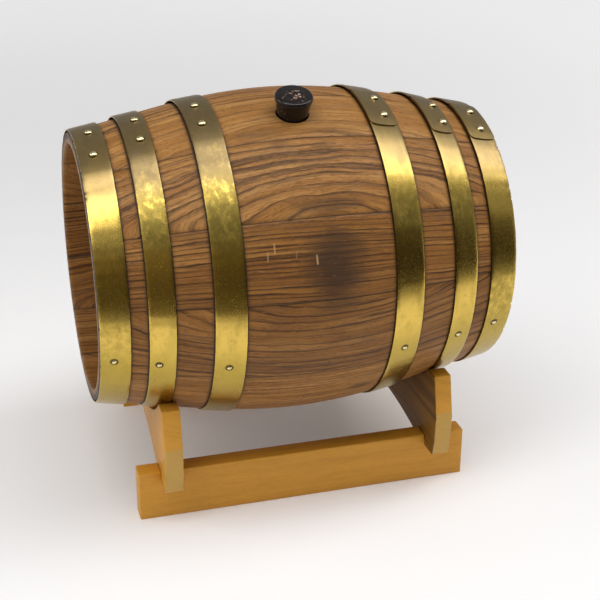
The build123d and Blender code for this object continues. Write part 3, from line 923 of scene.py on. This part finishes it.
class KEG_OT_staves(bpy.types.Operator):
    """Build the thirteen staves, with the bung hole"""

    bl_idname = "keg.staves"
    bl_label = "Staves"

    def execute(self, context):
        sizes, paint = context.scene.keg_sizes, context.scene.keg_colours
        a, b = barrel_curve(sizes)
        tree = stave_tree()
        for name, start, width in stave_spans():
            half = math.radians(width) * sizes.belly_radius / 2 / MM
            wood = oak_material(name, half, paint)
            stave = from_tree(f"{name}_board", tree, {
                "Start": math.radians(start), "Width": math.radians(width),
                "Length": sizes.length, "Belly radius": sizes.belly_radius, "Curve a": a,
                "Curve b": b, "Thickness": sizes.stave_thickness, "Axis height": AXIS_HEIGHT,
                "Joint round": sizes.joint_round, "Wood": wood})
            if name == "bung_stave":
                self.bore(stave, sizes, wood)
            finish_piece(stave, "barrel", "stained_oak", name)
        return {"FINISHED"}

    def bore(self, stave, sizes, wood):
        """Cut the tapered bung hole."""
        surface = sizes.belly_radius
        (low_radius, low), (high_radius, high) = BUNG_HOLE
        profile = [(0.0, surface + low), (low_radius, surface + low),
                   (high_radius, surface + high), (0.0, surface + high)]
        cutter = turned_piece("bung_reamer", profile, bung_place(), wood, 72)
        cut = stave.modifiers.new("Bung hole", "BOOLEAN")
        cut.operation = "DIFFERENCE"
        cut.object = cutter
        cut.solver = "EXACT"
        settle(stave)
        bpy.data.objects.remove(cutter)
        stave.data.materials.clear()
        stave.data.materials.append(wood)
        stave.data.polygons.foreach_set("material_index", [0] * len(stave.data.polygons))
        self.mark_places(stave.data, sizes)
        stave.data.set_sharp_from_angle(angle=math.radians(35.0))

    def mark_places(self, mesh, sizes):
        """Write each point's place on the bored stave, which the cut doesn't keep."""
        count = len(mesh.vertices)
        points = np.empty(count * 3, np.float32)
        mesh.vertices.foreach_get("co", points)
        x, y, z = points.reshape(-1, 3).T
        angle = np.arctan2(z - AXIS_HEIGHT, -y) - BUNG_ANGLE
        places = np.stack([x, angle * sizes.belly_radius, np.hypot(y, z - AXIS_HEIGHT)], 1)
        layer = mesh.attributes.get("place")
        if layer is not None:
            mesh.attributes.remove(layer)
        layer = mesh.attributes.new("place", "FLOAT_VECTOR", "POINT")
        layer.data.foreach_set("vector", places.astype(np.float32).ravel())


class KEG_OT_heads(bpy.types.Operator):
    """Finish the head boards and their dowels"""

    bl_idname = "keg.heads"
    bl_label = "Heads"

    def execute(self, context):
        sizes, paint = context.scene.keg_sizes, context.scene.keg_colours
        wood = head_material(paint)
        dowel_wood = beech_material("dowel_beech", paint, 1, 61.0)
        for side in ("left", "right"):
            for number in range(1, 5):
                node = f"{side}_head_board_{number}"
                board = from_frame(f"{node}_wood", node, sizes.head_ease, wood)
                finish_piece(board, "barrel", "head_oak", node)
            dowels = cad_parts[f"{side}_head_dowels"]
            dowels.data.materials.clear()
            dowels.data.materials.append(dowel_wood)
        return {"FINISHED"}


class KEG_OT_hoops(bpy.types.Operator):
    """Build the six riveted hoops"""

    bl_idname = "keg.hoops"
    bl_label = "Hoops"

    def execute(self, context):
        sizes, paint = context.scene.keg_sizes, context.scene.keg_colours
        tree = hoop_tree()
        for number, (name, facts) in enumerate(HOOPS.items()):
            (low, high), rivets, nail, belly_lift, head_lift = facts
            node = f"{name}_hoop"
            box_low, box_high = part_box(node)
            middle = (box_low.x + box_high.x) / 2
            side = -1.0 if name.startswith("left") else 1.0
            head_r, belly_r = band_radii(sizes, name)
            radius = (head_r + belly_r) / 2
            seed = 3.0 + 7.3 * number
            brass = brass_material(
                f"hoop_brass_{name}", paint, seed, radius, math.radians((low + high) / 2),
                MOTTLES[name], self.stud_marks(middle, rivets, nail, sizes))
            hoop = from_tree(f"{node}_strip", tree, {
                "End angle": math.radians(low if side > 0 else high), "Turn": side,
                "Lap": math.radians(high - low), "Middle x": middle,
                "Strip width": (box_high.x - box_low.x) - 0.0004, "Radius": radius,
                "Cone": head_r - belly_r, "Thickness": sizes.hoop_thickness,
                "Joggle": math.radians(JOGGLES[side]), "Belly lift": belly_lift * MM,
                "Head lift": head_lift * MM, "Nicks": END_NICKS if "end" in name else NICKS,
                "Side": side, "Axis height": AXIS_HEIGHT, "Seed": seed, "Brass": brass})
            finish_piece(hoop, "barrel", "hoop_brass", node)
        return {"FINISHED"}

    def stud_marks(self, middle, rivets, nail, sizes):
        """Each stud's place and the reach of its painted shadow ring, with x from the strip's
        middle.
        """
        reaches = (sizes.rivet_head / 2, sizes.rivet_head / 2, sizes.nail_head * 0.75)
        return [(x - middle / MM, math.radians(turn), reach / MM)
                for (x, turn), reach in zip((*rivets, nail), reaches)]


def seat_radius(sizes, name, x, angle):
    """Outer radius of a hoop's single strip at x and angle, lifted as it is near the lap."""
    (low, high), _, _, belly_lift, head_lift = HOOPS[name]
    head_x, belly_x = band_edges(name)
    head_r, belly_r = band_radii(sizes, name)
    share = (abs(x) - belly_x) / (head_x - belly_x)
    offset = abs(math.sin((angle - math.radians((low + high) / 2)) / 2))
    whole, none = LIFT_REACH
    faded = min(max((offset - whole) / (none - whole), 0.0), 1.0)
    lift = (belly_lift * (1 - share) + head_lift * share) * MM
    return (belly_r + (head_r - belly_r) * share + sizes.hoop_thickness
            + lift * (1 - faded**2 * (3 - 2 * faded)))


class KEG_OT_fittings(bpy.types.Operator):
    """Set the rivets and the nails of every hoop"""

    bl_idname = "keg.fittings"
    bl_label = "Rivets and nails"

    def execute(self, context):
        sizes, paint = context.scene.keg_sizes, context.scene.keg_colours
        tree = stud_tree()
        rivet_brass = fitting_material("rivet_brass", paint)
        nail_brass = fitting_material("nail_brass", paint)
        for name, (_, rivets, nail, _, _) in HOOPS.items():
            nails = (nail, (nail[0], nail[1] + BACK_TURN))
            self.pair(tree, sizes, name, "rivets", rivets, sizes.rivet_head, sizes.rivet_dome,
                      sizes.hoop_thickness, rivet_brass, "rivet_brass")
            self.pair(tree, sizes, name, "nails", nails, sizes.nail_head, sizes.nail_dome,
                      0.0, nail_brass, "nail_brass")
        return {"FINISHED"}

    def pair(self, tree, sizes, name, kind, places, head, dome, lap, brass, slot):
        """Set two rivets or two nails; lap is the second layer's thickness where they sit."""
        values = {"Head": head, "Dome": dome, "Axis height": AXIS_HEIGHT, "Brass": brass}
        for order, (x, degrees) in zip(("First", "Second"), places):
            angle = math.radians(degrees)
            values[f"{order} x"] = x * MM
            values[f"{order} angle"] = angle
            values[f"{order} radius"] = (seat_radius(sizes, name, x * MM, angle) + lap
                                         + STUD_LIFT)
        node = f"{name}_hoop_{kind}"
        studs = from_tree(f"{node}_heads", tree, values, 50.0)
        finish_piece(studs, "barrel", slot, node)


class KEG_OT_bung(bpy.types.Operator):
    """Turn the lacquered bung"""

    bl_idname = "keg.bung"
    bl_label = "Bung"

    def execute(self, context):
        sizes, paint = context.scene.keg_sizes, context.scene.keg_colours
        surface = sizes.belly_radius
        # The top's height over the staves, the rim's rounding, the depth below the staves and the
        # top's crown; then the bevel at the foot, the inset of the rim and how full its curve is.
        top, rim, reach, crown = 18.0 * MM, 2.9 * MM, 16.5 * MM, 0.7 * MM
        foot_rise, foot_cut, shoulder, fullness = 0.8 * MM, 0.6 * MM, 0.4 * MM, 0.85
        side_steps, rim_steps, crown_steps = 8, 12, 8

        def side_radius(height):
            return BUNG_RADIUS + BUNG_FLARE * height

        profile = [(0.0, surface - reach), (side_radius(-reach) - foot_cut, surface - reach),
                   (side_radius(foot_rise - reach), surface - reach + foot_rise)]
        for k in range(1, side_steps):
            height = -reach + (top - rim + reach) * k / side_steps
            profile.append((side_radius(height), surface + height))
        for k in range(rim_steps + 1):
            turn = math.pi / 2 * k / rim_steps
            profile.append((side_radius(top) - shoulder - rim + rim * math.cos(turn) ** fullness,
                            surface + top - crown - rim + rim * math.sin(turn) ** fullness))
        flat = profile[-1][0]
        for k in range(1, crown_steps + 1):
            share = 1 - k / crown_steps
            profile.append((flat * share, surface + top - crown * share**2))
        bung = turned_piece("bung_turned", profile, bung_place(), lacquer_material(paint))
        bung.data.set_sharp_from_angle(angle=math.radians(50.0))
        finish_piece(bung, "bung", "black_lacquer", "bung")
        return {"FINISHED"}


class KEG_OT_stand(bpy.types.Operator):
    """Ease the stand's rails and cradles"""

    bl_idname = "keg.stand"
    bl_label = "Stand"

    def execute(self, context):
        sizes, paint = context.scene.keg_sizes, context.scene.keg_colours
        rail_wood = beech_material("stand_beech_rail", paint, 0, 5.0)
        # The right cradle's inner face gets painted shade.
        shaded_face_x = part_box("right_cradle")[0][0] / MM
        cradle_wood = beech_material("stand_beech_cradle", paint, 1, 23.0, 0.8, shaded_face_x)
        for node, wood in (("front_rail", rail_wood), ("back_rail", rail_wood),
                           ("left_cradle", cradle_wood), ("right_cradle", cradle_wood)):
            piece = from_frame(f"{node}_wood", node, sizes.stand_ease, wood)
            finish_piece(piece, "stand", "stand_beech", node)
        return {"FINISHED"}


class KEG_OT_stage(bpy.types.Operator):
    """Lay the pale floor, the soft lights, the reflected room and the camera"""

    bl_idname = "keg.stage"
    bl_label = "Stage"

    def execute(self, context):
        scene, paint = context.scene, context.scene.keg_colours
        half, table_end, far, wide, above = 14.0, -0.51, -2.6, 4.0, 2 * MM
        floor = self.sheet("floor", (-half, -half, 0.0), (half, half, 0.0), floor_material(paint))
        # Beyond the near end of the table the brass reflects a dim room, brighter to the left.
        room, shop, shader = surface_material("dark_room")
        set_constants(shader, {"Base Color": colour(0.0, 0.0, 0.0), "Specular IOR Level": 0.0,
                               "Emission Strength": 1.0})
        x, y, z = shop.split(own_place(shop))
        glow = (x.step(-2.0, 1.2, 1.75, 0.30) * z.step(0.2, 1.7, 0.75, 1.6)
                * y.step(-1.6, -0.5, 0.8, 1.25))
        shop.put(shop.mix(glow * 0.5, colour(0, 0, 0), colour(0.20, 0.155, 0.085)),
                 shader.inputs["Emission Color"])
        beyond = self.sheet("room_floor", (-wide, far, above), (wide, table_end, above), room)
        wall = self.sheet("room_wall", (-wide, far, 0.0), (wide, far, 1.75), room)
        for card in (beyond, wall):
            card.visible_camera = False
            card.visible_diffuse = False
            card.visible_transmission = False
            card.visible_shadow = False
        world = bpy.data.worlds.new("soft_room")
        world.use_nodes = True
        background = world.node_tree.nodes["Background"]
        background.inputs[0].default_value = colour(0.96, 0.965, 0.99)
        # The room lights the keg softly and is seen as a pale wall.
        air = Shop(world.node_tree)
        seen = Wire(air, air.add("ShaderNodeLightPath").outputs["Is Camera Ray"])
        air.put(seen * 0.48 + 0.30, background.inputs[1])
        scene.world = world
        self.soft_light("ceiling_window", (0.3, -0.34, 1.55), (0.3, -0.2, 0.2), (4.2, 0.72), 33.0,
                        14.0)
        self.soft_light("left_window", (-1.7, 0.25, 1.0), (0.0, 0.0, 0.15), (0.9, 0.9), 6.0, 0.0)
        self.camera(scene)
        scene.view_settings.view_transform = "Standard"
        return {"FINISHED"}

    def sheet(self, name, low, high, material):
        """An oblong between two opposite corners, with its low and its high edge along x."""
        mesh = bpy.data.meshes.new(name)
        corners = [low, (high[0], *low[1:]), high, (low[0], *high[1:])]
        mesh.from_pydata(corners, [], [(0, 1, 2, 3)])
        mesh.materials.append(material)
        piece = bpy.data.objects.new(name, mesh)
        bpy.context.scene.collection.objects.link(piece)
        return piece

    def soft_light(self, name, place, target, spread, power, swing):
        """An oblong light that faces its target and is swung round by some degrees."""
        data = bpy.data.lights.new(name, "AREA")
        data.shape = "RECTANGLE"
        data.size, data.size_y = spread
        data.energy = power
        light = bpy.data.objects.new(name, data)
        light.location = place
        aim = Vector(target) - Vector(place)
        turn = Matrix.Rotation(math.radians(swing), 3, "Z")
        light.rotation_euler = (turn @ aim.to_track_quat("-Z", "Y").to_matrix()).to_euler()
        bpy.context.scene.collection.objects.link(light)

    def camera(self, scene):
        """Camera a metre away, to the left and above, looking down a little."""
        turn, tilt, roll = math.radians(-16.18), math.radians(23.90), math.radians(0.37)
        back = Vector((math.sin(turn) * math.cos(tilt), -math.cos(turn) * math.cos(tilt),
                       math.sin(tilt)))
        right = Vector((math.cos(turn), math.sin(turn), 0.0))
        up = back.cross(right)
        rolled = right * math.cos(roll) + up * math.sin(roll)
        up = back.cross(rolled)
        data = bpy.data.cameras.new("view")
        data.sensor_width = 36.0
        data.lens = 77.96
        data.clip_start = 0.05
        data.clip_end = 60.0
        data.shift_y = -0.0017
        camera = bpy.data.objects.new("view", data)
        rotation = Matrix((rolled, up, back)).transposed().to_4x4()
        camera.matrix_world = Matrix.Translation((-0.2711, -1.0017, 0.6092)) @ rotation
        scene.collection.objects.link(camera)
        scene.camera = camera


class KEG_PT_panel(bpy.types.Panel):
    """The keg's pieces and values"""

    bl_label = "Oak Keg"
    bl_idname = "KEG_PT_panel"
    bl_space_type = "VIEW_3D"
    bl_region_type = "UI"
    bl_category = "Keg"

    def draw(self, context):
        column = self.layout.column(align=True)
        for operator in OPERATORS:
            column.operator(operator.bl_idname)
        for group in (context.scene.keg_sizes, context.scene.keg_colours):
            box = self.layout.box()
            for name in group.__annotations__:
                box.prop(group, name)


OPERATORS = (KEG_OT_stage, KEG_OT_staves, KEG_OT_heads, KEG_OT_hoops, KEG_OT_fittings,
             KEG_OT_bung, KEG_OT_stand)
CLASSES = (KegSizes, KegColours, *OPERATORS, KEG_PT_panel)


def register():
    for cls in CLASSES:
        bpy.utils.register_class(cls)
    bpy.types.Scene.keg_sizes = bpy.props.PointerProperty(type=KegSizes)
    bpy.types.Scene.keg_colours = bpy.props.PointerProperty(type=KegColours)


def unregister():
    del bpy.types.Scene.keg_colours
    del bpy.types.Scene.keg_sizes
    for cls in reversed(CLASSES):
        bpy.utils.unregister_class(cls)


def main():
    """Build the keg and its stage."""
    register()
    bpy.ops.keg.stage()
    bpy.ops.keg.staves()
    bpy.ops.keg.heads()
    bpy.ops.keg.hoops()
    bpy.ops.keg.fittings()
    bpy.ops.keg.bung()
    bpy.ops.keg.stand()


if __name__ == "__main__":
    main()
